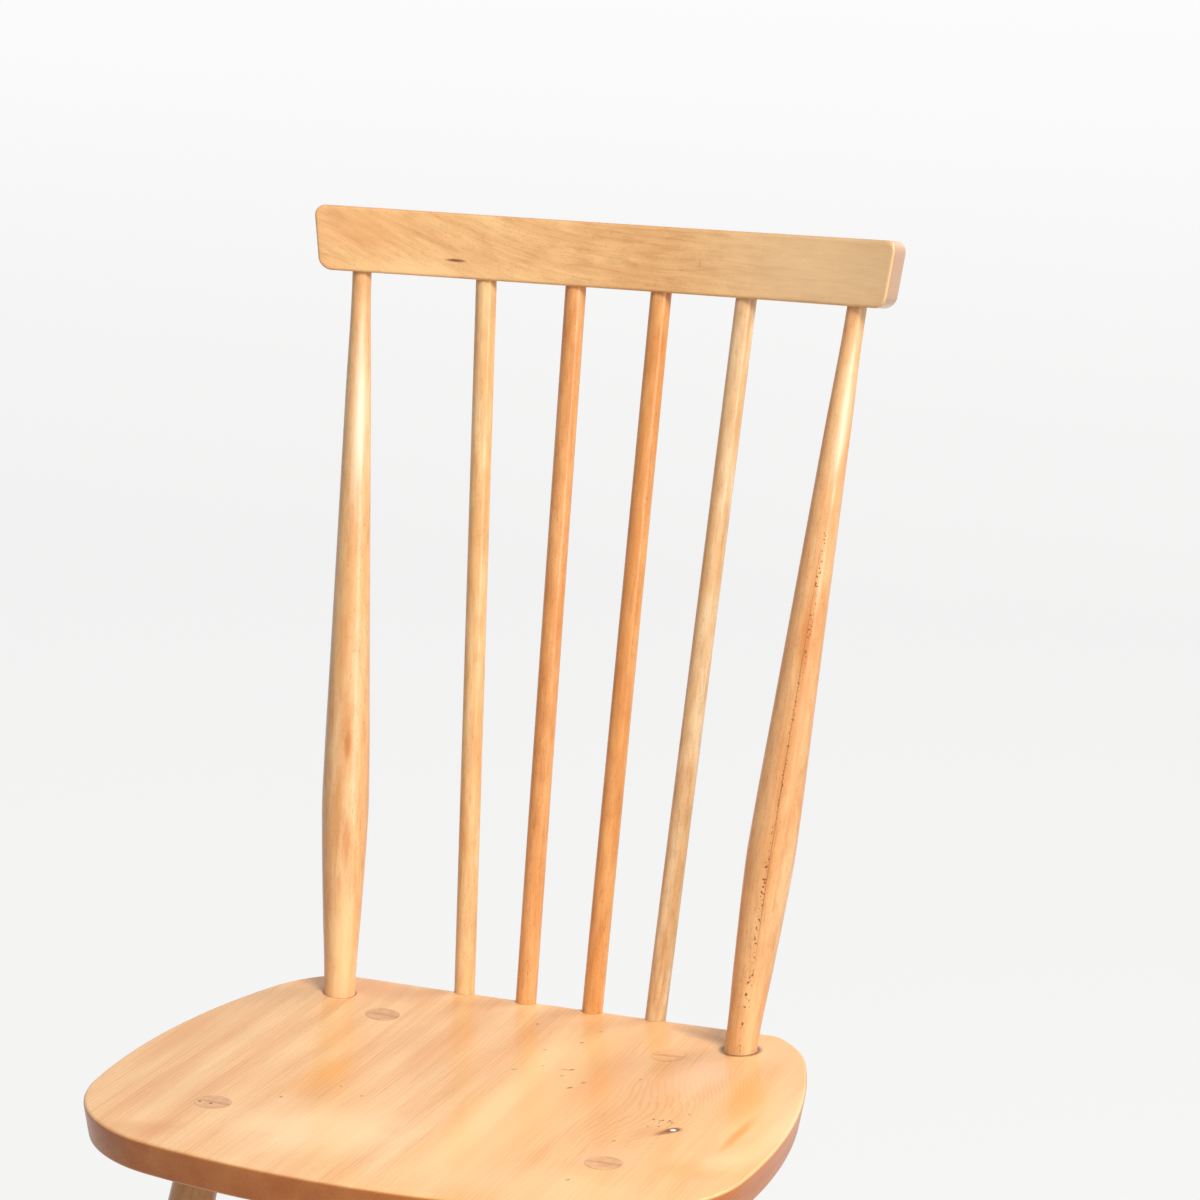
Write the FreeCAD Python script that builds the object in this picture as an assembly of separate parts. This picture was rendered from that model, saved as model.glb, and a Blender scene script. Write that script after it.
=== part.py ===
"""A windsor side chair in beech, built as a chair maker builds it.

Two glued boards make a dished plank seat. Four splayed turned legs stand in holes that
go right through the seat, and a wedge spreads each tenon. An H of three turned stretchers
ties the legs. Two swelled posts and four slim spindles rise from the back of the seat, lean
back and fan out, and end in a top rail that is bent to a shallow arc.

Lengths are in millimetres. X runs to the sitter's left, which is right as seen from the front,
Y runs to the back and Z runs up. While the pieces are made, Y = 0 is the line through the feet
of the two posts on the seat; the finished chair is then centred on its own box.
"""
import FreeCAD, Part
import math
import os

# Seat
seat_height = 435.0
seat_width = 426.0
seat_thickness = 22.0
seat_front = -320.5
seat_back = 62.0
seat_widest = -165.0
back_bow = 690.0
side_bow = 487.0
front_bow = 580.0
rear_corner = 89.0
front_corner = 98.0
undercut = 3.6
board_joint = 9.0
rim_bevel = 2.4
dish_depth = 6.5
dish_width = 324.0
dish_length = 462.0
dish_middle = -75.0

# Slope behind the sitter, in which the spindles stand
tail_start = 30.0
tail_angle = 22.5
tail_round = 14.0

# Legs
front_leg_across = 251.0
front_leg_place = -227.0
rear_leg_across = 198.0
rear_leg_place = -24.0
front_splay_out = 9.5
front_splay_forward = 6.0
rear_splay_out = 8.5
rear_splay_back = 13.0
leg_tenon = 22.0
leg_neck = 26.0
leg_shoulder = 5.0
leg_turning = ((345, 29.8), (285, 33.5), (218, 34.8), (192, 34.2), (128, 30.8), (66, 27.0),
               (8, 23.8), (0, 23.4))

# Wedges in the tenons
wedge_thick = 3.0
wedge_tip = 0.6
wedge_depth = 15.0

# Stretchers
side_stretcher_height = 205.0
side_stretcher_swell = 19.2
side_stretcher_end = 14.0
side_tenon = 22.0
side_stretcher_full = 60.0
cross_stretcher_swell = 17.5
cross_stretcher_end = 12.5
cross_tenon = 12.0
cross_stretcher_full = 60.0
cross_stretcher_place = 0.5

# Back
back_height = 481.5
back_rake = 10.7
post_across_seat = 281.0
post_across_rail = 342.6
post_foot = 21.2
post_turning = ((55, 25.9), (104, 30.2), (128, 31.4), (152, 30.6), (235, 26.0), (320, 21.4),
                (400, 17.2))
post_top = 12.8
post_rail_tenon = 28.0

spindle_across_seat = (136.4, 47.4)
spindle_across_rail = (181.6, 59.8)
spindle_set_back = 45.5
spindle_size = 14.0
spindle_seat_tenon = 16.5
spindle_rail_tenon = 24.0

# Top rail
rail_length_top = 402.0
rail_length_bottom = 391.0
rail_height = 43.2
rail_thickness = 20.0
rail_sag = 31.5
rail_lean = 6.0
rail_end_skew = 8.0
rail_corner = 8.0
rail_arris = 1.8

# Clearances
glue_gap = 0.1
socket_end_gap = 1.0
tenon_clear = 3.0
beyond = 10.0

# Worked-out places
seat_top = seat_height
seat_under = seat_height - seat_thickness
rake = math.radians(back_rake)
up_back = FreeCAD.Vector(0, math.sin(rake), math.cos(rake))
rail_half_span = post_across_rail / 2
rail_radius = (rail_half_span ** 2 + rail_sag ** 2) / (2 * rail_sag)
rail_back = FreeCAD.Vector(0, math.cos(math.radians(rail_lean)), -math.sin(math.radians(rail_lean)))


def point(x, y, z):
    return FreeCAD.Vector(x, y, z)


def corner_centre(first, first_radius, second, second_radius, radius):
    """The centre of a corner arc that touches two larger arcs from inside, on their +X side."""
    one = first_radius - radius
    two = second_radius - radius
    apart = second - first
    along = (one ** 2 - two ** 2 + apart.Length ** 2) / (2 * apart.Length)
    off = math.sqrt(one ** 2 - along ** 2)
    way = apart.normalize()
    spots = [first + way * along + point(-way.y, way.x, 0) * (side * off) for side in (-1, 1)]
    return max(spots, key=lambda spot: spot.x)


def arc_between(centre, radius, start, end):
    """The shorter arc round a centre, between the directions of two other points."""
    first = (start - centre).normalize()
    last = (end - centre).normalize()
    middle = (first + last).normalize()
    return Part.Arc(centre + first * radius, centre + middle * radius, centre + last * radius).toShape()


def seat_outline(z, inset):
    """Half of the seat in plan at height z, drawn in by inset all round.

    Long bows make the back, the side and the front, and corner arcs touch them. The seat's
    middle line closes the outline.
    """
    back = point(0, seat_back - back_bow, 0)
    side = point(seat_width / 2 - side_bow, seat_widest, 0)
    front = point(0, seat_front + front_bow, 0)
    rear_turn = corner_centre(back, back_bow, side, side_bow, rear_corner)
    front_turn = corner_centre(side, side_bow, front, front_bow, front_corner)
    back_middle = point(0, seat_back, 0)
    front_middle = point(0, seat_front, 0)
    out_rear = rear_turn + (rear_turn - back)
    side_rear = rear_turn + (rear_turn - side)
    side_front = front_turn + (front_turn - side)
    out_front = front_turn + (front_turn - front)
    edges = [arc_between(back, back_bow - inset, back_middle, out_rear),
             arc_between(rear_turn, rear_corner - inset, out_rear, side_rear),
             arc_between(side, side_bow - inset, side_rear, side_front),
             arc_between(front_turn, front_corner - inset, side_front, out_front),
             arc_between(front, front_bow - inset, out_front, front_middle)]
    middle_line = Part.makeLine(point(0, seat_front + inset, 0), point(0, seat_back - inset, 0))
    outline = Part.Wire(edges + [middle_line])
    outline.translate(point(0, 0, z))
    return outline


def bow(half_span, depth):
    """The radius of a circle whose arc has this half span and this depth."""
    return (half_span ** 2 + depth ** 2) / (2 * depth)


def dish():
    """Everything over the hollow of the seat: a flat bow swept along a second, crossing bow."""
    across = bow(dish_width / 2, dish_depth)
    along = bow(dish_length / 2, dish_depth)
    low = seat_top - dish_depth
    reach = seat_width / 2
    rise = across - math.sqrt(across ** 2 - reach ** 2)
    ceiling = low + rise + beyond
    arc = Part.Arc(point(-reach, dish_middle, low + rise), point(0, dish_middle, low),
                   point(reach, dish_middle, low + rise))
    corners = [point(reach, dish_middle, low + rise), point(reach, dish_middle, ceiling),
               point(-reach, dish_middle, ceiling), point(-reach, dish_middle, low + rise)]
    face = Part.Face(Part.Wire([arc.toShape()] + Part.makePolygon(corners).Edges))
    half_turn = math.degrees((seat_back - seat_front) / along)
    pivot = point(0, dish_middle, low + along)
    face.rotate(pivot, point(1, 0, 0), -half_turn)
    return face.revolve(pivot, point(1, 0, 0), 2 * half_turn)


def tail():
    """Everything over the slope at the back of the seat, which rolls off the flat top."""
    angle = math.radians(tail_angle)
    roll_y = tail_start + tail_round * math.sin(angle)
    roll_z = seat_top - tail_round * (1 - math.cos(angle))
    half_y = tail_start + tail_round * math.sin(angle / 2)
    half_z = seat_top - tail_round * (1 - math.cos(angle / 2))
    end_y = seat_back + beyond
    end_z = roll_z - (end_y - roll_y) * math.tan(angle)
    left = -seat_width / 2 - beyond
    roll = Part.Arc(point(left, tail_start, seat_top), point(left, half_y, half_z),
                    point(left, roll_y, roll_z))
    corners = [point(left, roll_y, roll_z), point(left, end_y, end_z),
               point(left, end_y, seat_top + beyond), point(left, tail_start, seat_top + beyond),
               point(left, tail_start, seat_top)]
    face = Part.Face(Part.Wire([roll.toShape()] + Part.makePolygon(corners).Edges))
    return face.extrude(point(-2 * left, 0, 0))


def over_seat():
    """Everything over the seat's finished top, for planing tenons and wedges flush."""
    width = seat_width + 2 * beyond
    depth = seat_back - seat_front + 2 * beyond
    air = Part.makeBox(width, depth, 4 * beyond, point(-width / 2, seat_front - beyond, seat_top))
    return [air, dish(), tail()]


def under_seat():
    """Everything below the seat, for planing the post tenons flush."""
    width = seat_width + 2 * beyond
    depth = seat_back - seat_front + 2 * beyond
    return Part.makeBox(width, depth, 4 * beyond,
                        point(-width / 2, seat_front - beyond, seat_under - 4 * beyond))


def size_at(stations, height):
    """The diameter of a turning at this height."""
    for (low, below), (high, above) in zip(stations, stations[1:]):
        if low <= height <= high:
            return below + (above - below) * (height - low) / (high - low)
    raise ValueError("the height lies off the turning")


def turned(stations, grow=0.0, cut_at=()):
    """A lathe turning up the Z axis from (height, diameter) stations.

    grow is added all round, for a socket's size. Each taper is a curve with two poles, which
    meshes lightly, or a plain cone where another piece is let in or the end is cut off.
    """
    spots = [point(diameter / 2 + grow, 0, height) for height, diameter in stations]
    edges = []
    for here, there in zip(spots, spots[1:]):
        cut = any(here.z <= height <= there.z for height in cut_at)
        if cut or here.x == there.x:
            edges.append(Part.makeLine(here, there))
        else:
            taper = Part.BezierCurve()
            taper.setPoles([here, there])
            edges.append(taper.toShape())
    top = point(0, 0, spots[-1].z)
    foot = point(0, 0, spots[0].z)
    edges.append(Part.makeLine(spots[-1], top))
    edges.append(Part.makeLine(top, foot))
    edges.append(Part.makeLine(foot, spots[0]))
    face = Part.Face(Part.Wire(edges))
    return face.revolve(point(0, 0, 0), point(0, 0, 1), 360)


def stand(shape, start, end):
    """Moves a turning so that its own Z axis starts at one point and runs to another.

    Its own X axis stays as near to the chair's as that allows, or on a cross rail turns upright.
    """
    along = (end - start).normalize()
    across = point(1, 0, 0)
    if abs(along.x) > 0.9:
        across = point(0, 0, 1)
    ahead = along.cross(across).normalize()
    turn = FreeCAD.Rotation(ahead.cross(along), ahead, along, "ZXY")
    shape.Placement = FreeCAD.Placement(start, turn)
    return shape


def leg_lines():
    """Each leg's name, with its axis from the seat's top plane to the floor."""
    lines = {}
    for row, across, place, out, forward in (
            ("front", front_leg_across, front_leg_place, front_splay_out, -front_splay_forward),
            ("rear", rear_leg_across, rear_leg_place, rear_splay_out, rear_splay_back)):
        for side, sign in (("left", -1), ("right", 1)):
            top = point(sign * across / 2, place, seat_top)
            foot = top + point(sign * seat_top * math.tan(math.radians(out)),
                               seat_top * math.tan(math.radians(forward)), -seat_top)
            lines[row + "_" + side] = (top, foot)
    return lines


def leg_stations(top, foot):
    """A leg's distances from the seat's top and its diameters there, run on past both ends."""
    slant = (foot - top).Length / seat_top
    under = seat_thickness * slant + tenon_clear
    stations = [(-beyond, leg_tenon), (under, leg_tenon), (under + leg_shoulder, leg_neck)]
    stations += [((seat_top - height) * slant, size) for height, size in leg_turning]
    return stations + [(seat_top * slant + beyond, leg_turning[-1][1])]


def leg_shape(top, foot):
    """A leg with a parallel tenon at the top and its widest place above the stretcher."""
    length = (foot - top).Length
    bored = length * (1 - side_stretcher_height / seat_top)
    return stand(turned(leg_stations(top, foot), 0, (bored, length - tenon_clear)), top, foot)


def leg_socket(top, foot):
    """The round hole for a leg's tenon, right through the seat."""
    below = seat_thickness + 2 * beyond
    return stand(turned([(-beyond, leg_tenon), (below, leg_tenon)], glue_gap), top, foot)


def on_line(line, height):
    """The point of a leg's axis at this height over the floor."""
    top, foot = line
    return top + (foot - top) * ((top.z - height) / (top.z - foot.z))


def side_stretcher_line(legs, side):
    """A side stretcher's axis, from the tip of one tenon to the tip of the other."""
    front = on_line(legs["front_" + side], side_stretcher_height)
    rear = on_line(legs["rear_" + side], side_stretcher_height)
    along = (rear - front).normalize()
    tips = []
    for row, spot, way in (("front", front, along), ("rear", rear, -along)):
        top, foot = legs[row + "_" + side]
        size = size_at(leg_stations(top, foot), (spot - top).Length)
        tips.append(spot + way * (size / 2 - side_tenon))
    return tips


def stretcher_stations(length, tenon, end_size, swell, full):
    """Parallel ends twice as long as the tenons, and tapers up to a full-sized middle."""
    taper = (length - full) / 2 - 2 * tenon
    middle = (end_size + swell) / 2
    rise = [(2 * tenon, end_size), (2 * tenon + taper / 2, middle), (2 * tenon + taper, swell)]
    fall = [(length - place, size) for place, size in reversed(rise)]
    return [(0, end_size)] + rise + fall + [(length, end_size)]


def stretcher_shape(tips, tenon, end_size, swell, full):
    """A turned stretcher between the tips of its tenons."""
    start, end = tips
    stations = stretcher_stations((end - start).Length, tenon, end_size, swell, full)
    return stand(turned(stations), start, end)


def sockets(tips, tenon, size):
    """The two blind holes for a stretcher, a little deeper and wider than its tenons."""
    start, end = tips
    holes = []
    for mouth, tip in ((start, end), (end, start)):
        hole = turned([(-socket_end_gap, size), (2 * tenon, size)], glue_gap)
        holes.append(stand(hole, mouth, tip))
    return holes


def cross_stretcher_line(side_lines):
    """The cross stretcher's axis, tip to tip, between the side stretchers."""
    spots = []
    sizes = []
    for front, rear in side_lines:
        length = (rear - front).Length
        stations = stretcher_stations(length, side_tenon, side_stretcher_end, side_stretcher_swell,
                                      side_stretcher_full)
        spots.append(front + (rear - front) * cross_stretcher_place)
        sizes.append(size_at(stations, length * cross_stretcher_place))
    left, right = spots
    along = (right - left).normalize()
    return [left + along * (sizes[0] / 2 - cross_tenon), right - along * (sizes[1] / 2 - cross_tenon)]


def rail_spot(across):
    """A point on the rail's lower edge, in the middle of its thickness."""
    return point(across, 0, seat_top) + up_back * back_height + rail_back * rail_arc(across)


def post_line(sign):
    """A post's axis, from the seat's top plane to the rail's lower edge."""
    return point(sign * post_across_seat / 2, 0, seat_top), rail_spot(sign * rail_half_span)


def post_shape(foot, top):
    """A post, swelled low down, with a parallel tenon at each end."""
    length = (top - foot).Length
    below = seat_thickness + 2 * beyond
    stations = [(-below, post_foot), (tenon_clear, post_foot), *post_turning,
                (length - tenon_clear, post_top), (length + post_rail_tenon, post_top)]
    return stand(turned(stations), foot, top)


def post_sockets(foot, top):
    """The hole for a post right through the seat, and the blind one in the rail."""
    length = (top - foot).Length
    below = seat_thickness + 2 * beyond
    deep = length + post_rail_tenon + socket_end_gap
    low = stand(turned([(-below, post_foot), (beyond, post_foot)], glue_gap), foot, top)
    high = stand(turned([(length - beyond, post_top), (deep, post_top)], glue_gap), foot, top)
    return low, high


def spindle_line(sign, number):
    """A spindle's axis, from the height of the seat's top plane to the rail's lower edge."""
    foot = point(sign * spindle_across_seat[number] / 2, spindle_set_back, seat_top)
    return foot, rail_spot(sign * spindle_across_rail[number] / 2)


def spindle_shape(foot, top, grow=0.0, extra=0.0):
    """A plain round spindle, run on past both ends of its axis to the bottoms of its sockets."""
    length = (top - foot).Length
    stations = [(-spindle_seat_tenon - extra, spindle_size),
                (length + spindle_rail_tenon + extra, spindle_size)]
    return stand(turned(stations, grow), foot, top)


def wedge(start, end):
    """A wedge driven in at start, its tip towards end, wider than the tenon that it splits."""
    thickening = (wedge_thick - wedge_tip) / wedge_depth
    head = wedge_thick + thickening * beyond
    width = leg_tenon
    corners = [point(-width, -head / 2, -beyond), point(-width, head / 2, -beyond),
               point(-width, wedge_tip / 2, wedge_depth),
               point(-width, -wedge_tip / 2, wedge_depth), point(-width, -head / 2, -beyond)]
    block = Part.Face(Part.makePolygon(corners)).extrude(point(2 * width, 0, 0))
    return stand(block, start, end)


def seat_half():
    """The half of the seat on the positive X side: undercut edge, bevelled rim, dish and tail."""
    outlines = []
    for depth, bevel in ((seat_thickness, 0), (rim_bevel, 0), (0, rim_bevel)):
        inset = undercut * depth / seat_thickness + bevel
        outlines.append(seat_outline(seat_top - depth, inset))
    return Part.makeLoft(outlines, True, True).cut(dish()).cut(tail())


def mirrored(shape):
    """The same shape on the other side of the chair's middle plane."""
    return shape.mirror(point(0, 0, 0), point(1, 0, 0))


def seat_boards(holes):
    """The bored seat, sawn into its two boards along their joint, which is a little off centre."""
    half = cut_all(seat_half(), holes)
    whole = half.fuse(mirrored(half)).removeSplitter()
    size = 2 * (seat_back - seat_front)
    right_side = Part.makeBox(size, size, size, point(board_joint, -size / 2, 0))
    return whole.cut(right_side), whole.common(right_side)


def rail_arc(across):
    """How far behind the posts' tops the middle of the rail's thickness lies."""
    return math.sqrt(rail_radius ** 2 - across ** 2) - math.sqrt(rail_radius ** 2 - rail_half_span ** 2)


def rail_end(sign):
    """Everything past one slanted end of the rail, which is cut a little askew in plan."""
    skew = math.radians(rail_end_skew)
    through = point(sign * math.sin(skew), math.cos(skew), 0) * (rail_thickness * 2)
    outward = point(sign * math.cos(skew), -math.sin(skew), 0) * (4 * beyond)
    low = point(sign * rail_length_bottom / 2, rail_arc(rail_length_bottom / 2), 0)
    high = point(sign * rail_length_top / 2, rail_arc(rail_length_top / 2), rail_height)
    rise = high - low
    low = low - rise
    high = high + rise
    corners = [low - through, low + through, high + through, high - through, low - through]
    return Part.Face(Part.makePolygon(corners)).extrude(outward)


def runs_through(edge):
    """Whether an edge of the rail runs from its front to its back."""
    way = edge.Vertexes[-1].Point - edge.Vertexes[0].Point
    return abs(way.y) > max(abs(way.x), abs(way.z))


def rail_board():
    """The top rail before boring: a bent board with slanted, rounded ends.

    It is made upright, with the posts' tops on its middle arc at Y = 0, and leaned back last.
    """
    outer = rail_radius + rail_thickness / 2
    inner = rail_radius - rail_thickness / 2
    centre = point(0, rail_arc(0) - rail_radius, 0)
    ring = Part.makeCylinder(outer, rail_height, centre).cut(
        Part.makeCylinder(inner, rail_height, centre))
    reach = rail_length_top / 2 + beyond
    front = point(-reach, centre.y + rail_radius / 2, 0)
    board = ring.common(Part.makeBox(2 * reach, rail_radius, rail_height, front))
    for sign in (-1, 1):
        board = board.cut(rail_end(sign))
    board = board.makeFillet(rail_corner, [edge for edge in board.Edges if runs_through(edge)])
    skins = [face for face in board.Faces if isinstance(face.Surface, Part.Cylinder)
             and min(abs(face.Surface.Radius - outer), abs(face.Surface.Radius - inner)) < 0.01]
    board = board.makeChamfer(rail_arris, [edge for skin in skins for edge in skin.Edges])
    board.rotate(point(0, 0, 0), point(1, 0, 0), -rail_lean)
    board.translate(point(0, 0, seat_top) + up_back * back_height)
    return board


def floor():
    """Everything under the floor, for cutting the feet level."""
    reach = seat_height + seat_width
    return Part.makeBox(2 * reach, 2 * reach, 4 * beyond, point(-reach, -reach, -4 * beyond))


def cut_all(shape, tools):
    """The shape with each tool cut away in turn."""
    for tool in tools:
        shape = shape.cut(tool)
    return shape


def build():
    """Every piece of the chair by name."""
    parts = {}
    legs = leg_lines()
    sides = {"left": -1, "right": 1}
    seat_holes = []
    rail_holes = []
    leg_holes = {name: [] for name in legs}
    side_lines = {side: side_stretcher_line(legs, side) for side in sides}
    cross_line = cross_stretcher_line([side_lines["left"], side_lines["right"]])

    for side in sides:
        tips = side_lines[side]
        front_hole, rear_hole = sockets(tips, side_tenon, side_stretcher_end)
        leg_holes["front_" + side].append(front_hole)
        leg_holes["rear_" + side].append(rear_hole)
    for side, hole in zip(sides, sockets(cross_line, cross_tenon, cross_stretcher_end)):
        stretcher = stretcher_shape(side_lines[side], side_tenon, side_stretcher_end,
                                    side_stretcher_swell, side_stretcher_full)
        parts["side_stretcher_" + side] = stretcher.cut(hole)
    parts["cross_stretcher"] = stretcher_shape(cross_line, cross_tenon, cross_stretcher_end,
                                               cross_stretcher_swell, cross_stretcher_full)

    for name, (top, foot) in legs.items():
        leg = leg_shape(top, foot)
        split = wedge(top, foot)
        seat_holes.append(leg_socket(top, foot))
        parts["leg_wedge_" + name] = cut_all(leg.common(split), over_seat())
        parts["leg_" + name] = cut_all(leg, [split, floor()] + leg_holes[name] + over_seat())

    for side, sign in sides.items():
        foot, top = post_line(sign)
        post = post_shape(foot, top)
        under = foot - (top - foot) * (seat_thickness / (top.z - foot.z))
        split = wedge(under, foot)
        low_hole, high_hole = post_sockets(foot, top)
        seat_holes.append(low_hole)
        rail_holes.append(high_hole)
        parts["post_wedge_" + side] = post.common(split).cut(under_seat())
        parts["back_post_" + side] = post.cut(split).cut(under_seat())

    spindle_places = ((-1, 0), (-1, 1), (1, 1), (1, 0))
    for number, place in enumerate(spindle_places, 1):
        foot, top = spindle_line(*place)
        hole = spindle_shape(foot, top, glue_gap, socket_end_gap)
        seat_holes.append(hole)
        rail_holes.append(hole)
        parts["spindle_" + str(number)] = spindle_shape(foot, top)

    parts["seat_board_left"], parts["seat_board_right"] = seat_boards(seat_holes)
    parts["top_rail"] = cut_all(rail_board(), rail_holes)
    return parts


def centred(parts):
    """The pieces moved together so that their box is centred over the origin."""
    box = Part.makeCompound(list(parts.values())).optimalBoundingBox()
    shift = point(-(box.XMin + box.XMax) / 2, -(box.YMin + box.YMax) / 2, 0)
    for shape in parts.values():
        shape.translate(shift)
    return parts


os.makedirs("parts", exist_ok=True)
for name, shape in centred(build()).items():
    shape.exportStep("parts/" + name + ".step")
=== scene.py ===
"""A windsor side chair in beech under a satin lacquer: its visible surfaces and finishes.

Lengths are millimetres in the chair maker's frame: X runs to the sitter's left, Y to the
back from the line through the posts' feet, and Z up from the floor. Each mesh is moved to
the row's frame and turned to metres as it is made. Lamps, floor and camera are in metres.
"""

import math

import bmesh
import bpy
import numpy as np
from mathutils import Matrix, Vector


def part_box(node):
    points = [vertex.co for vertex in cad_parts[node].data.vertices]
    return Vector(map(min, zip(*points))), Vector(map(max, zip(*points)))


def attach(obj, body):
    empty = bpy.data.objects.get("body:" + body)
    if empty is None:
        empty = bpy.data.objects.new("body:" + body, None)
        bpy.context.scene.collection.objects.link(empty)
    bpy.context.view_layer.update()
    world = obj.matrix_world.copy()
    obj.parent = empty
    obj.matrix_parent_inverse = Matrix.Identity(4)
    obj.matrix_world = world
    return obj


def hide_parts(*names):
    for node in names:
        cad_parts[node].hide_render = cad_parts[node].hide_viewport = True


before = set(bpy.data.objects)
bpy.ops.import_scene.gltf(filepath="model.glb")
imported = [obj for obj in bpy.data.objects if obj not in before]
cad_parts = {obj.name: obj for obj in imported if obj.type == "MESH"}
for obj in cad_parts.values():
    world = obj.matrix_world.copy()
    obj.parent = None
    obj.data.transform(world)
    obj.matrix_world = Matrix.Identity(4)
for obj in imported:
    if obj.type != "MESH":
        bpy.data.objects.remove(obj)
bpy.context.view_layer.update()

SIDES = (("left", -1), ("right", 1))

# Seat: its bows and corners are the radii of the outline's arcs
SEAT_TOP = 435
SEAT_THICK = 22
SEAT_HALF = 213
SEAT_FRONT = -320.5
SEAT_BACK = 62
SEAT_WIDEST = -165
BACK_BOW = 690
SIDE_BOW = 487
FRONT_BOW = 580
REAR_CORNER = 89
FRONT_CORNER = 98
UNDERCUT = 3.6
TOP_ARRIS = 2.6
LOW_ARRIS = 1.6
JOINT_BACK = 4.6
JOINT_FRONT = 13.4
JOINT_GAP = 0.015
DISH_DEPTH = 6.5
DISH_HALF_WIDTH = 162
DISH_HALF_LENGTH = 231
DISH_MIDDLE = -75
DISH_EASE = 1
TAIL_START = 30
TAIL_ANGLE = math.radians(22.5)
TAIL_ROUND = 14

# Legs: place across and along the seat with the splay out and forward, and in LEG_TURNING
# the height over the floor and diameter
FRONT_LEG = (125.5, -227, math.radians(9.5), math.radians(-6))
REAR_LEG = (99, -24, math.radians(8.5), math.radians(13))
LEG_TENON = 22
LEG_NECK = 26
LEG_TURNING = ((345, 29.8), (285, 33.5), (218, 34.8), (192, 34.2), (128, 30.8), (66, 27),
               (8, 23.8), (0, 23.4))
LEG_ROUND = 0.8
TENON_PROUD = 0.12
WEDGE_PROUD = 0.2
WEDGE_THICK = 3
WEDGE_TIP = 0.6
WEDGE_DEEP = 15
WEDGE_SHORT = 0.15

# Stretchers
STRETCHER_HEIGHT = 205
SIDE_SWELL = 19.2
SIDE_END = 14
SIDE_TENON = 22
SIDE_BITE = 5
CROSS_SWELL = 17.5
CROSS_END = 12.5
CROSS_TENON = 12
CROSS_BITE = 2.4
STRETCHER_FULL = 60

# Back: POST_TURNING holds the distance from the seat and diameter
BACK_HEIGHT = 481.5
RAKE = math.radians(10.7)
POST_SEAT = 140.5
POST_RAIL = 171.3
POST_FOOT = 21.2
POST_TOP = 12.8
POST_TURNING = ((55, 25.9), (104, 30.2), (128, 31.4), (152, 30.6), (235, 26), (320, 21.4),
                (400, 17.2))
POST_PLAIN = 3
POST_SHORT = 0.15
POST_RAIL_TENON = 28
SPINDLE_SEAT = (-68.2, -23.7, 23.7, 68.2)
SPINDLE_RAIL = (-90.8, -29.9, 29.9, 90.8)
SPINDLE_SET_BACK = 45.5
SPINDLE_SIZE = 14
SPINDLE_SEAT_TENON = 16.5
SPINDLE_RAIL_TENON = 24

# Top rail: the grain's slope eases from one value to the other across its length
RAIL_HALF_TOP = 201
RAIL_HALF_BOTTOM = 195.5
RAIL_HIGH = 43.2
RAIL_THICK = 20
RAIL_SAG = 31.5
RAIL_LEAN = math.radians(6)
RAIL_SKEW = math.radians(8)
RAIL_CORNER = 8
RAIL_ARRIS = 2
RAIL_GRAIN_LEFT = 0.42
RAIL_GRAIN_RIGHT = 0.06
RAIL_GRAIN_TURN = -60
RAIL_GRAIN_EASE = 45
RAIL_RADIUS = (POST_RAIL ** 2 + RAIL_SAG ** 2) / (2 * RAIL_SAG)

SHIFT_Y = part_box("seat_board_left")[0].y * 1000 - SEAT_FRONT

# How finely the surfaces are divided; the weld is in metres
WELD = 2e-6
CREASE = math.radians(42)
CAP_RINGS = (0.25, 0.5, 0.75, 0.93)
LEVEL_CUT = 4
ARC_STEPS = 160
BOARD_STEPS = 280
BOARD_ROWS = 64
BOARD_WALL_ROWS = (0.2, 0.4, 0.6, 0.8, 1)
BOARD_FLAT_ROWS = 12
BOARD_TURN = np.linspace(0, math.pi / 2, 8)[1:]
WEDGE_STEPS = 24
RAIL_FACE_ROWS = (0, 0.25, 0.5, 0.75, 0.92)
RAIL_STEPS = 130
RAIL_END_STEPS = 10
RAIL_TURN = np.linspace(0, math.pi / 2, 7)


# Meshes

def unit(vector):
    """A vector in the same direction, one long."""
    return vector / np.linalg.norm(vector)


def mesh_piece(name, points, faces, wood, materials, nodes, face_material=None):
    """A smooth closed piece from points in millimetres, riding on the chair for its CAD nodes.

    wood holds each point's place in its own plank: across the growth rings, through them,
    and along the grain, in millimetres. Points that coincide are merged, and faces turned out.
    """
    placed = (np.asarray(points, float) + (0, SHIFT_Y, 0)) * 0.001
    mesh = bpy.data.meshes.new(name)
    mesh.from_pydata(placed, [], faces)
    plank = mesh.attributes.new("wood_place", "FLOAT_VECTOR", "POINT")
    plank.data.foreach_set("vector", np.asarray(wood, np.float32).ravel())
    for material in materials:
        mesh.materials.append(material)
    if face_material is not None:
        mesh.polygons.foreach_set("material_index", face_material)
    weld = bmesh.new()
    weld.from_mesh(mesh)
    bmesh.ops.remove_doubles(weld, verts=weld.verts, dist=WELD)
    bmesh.ops.dissolve_degenerate(weld, edges=weld.edges, dist=WELD / 2)
    bmesh.ops.recalc_face_normals(weld, faces=weld.faces)
    weld.to_mesh(mesh)
    weld.free()
    mesh.shade_smooth()
    mesh.set_sharp_from_angle(angle=CREASE)
    piece = bpy.data.objects.new(name, mesh)
    bpy.context.scene.collection.objects.link(piece)
    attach(piece, "root")
    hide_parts(*nodes)


def quads(index, closed=False):
    """A face for each cell of a grid of point numbers, which may close on its first column."""
    if closed:
        index = np.column_stack([index, index[:, 0]])
    return np.stack([index[:-1, :-1], index[:-1, 1:], index[1:, 1:], index[1:, :-1]],
                    axis=-1).reshape(-1, 4)


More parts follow.
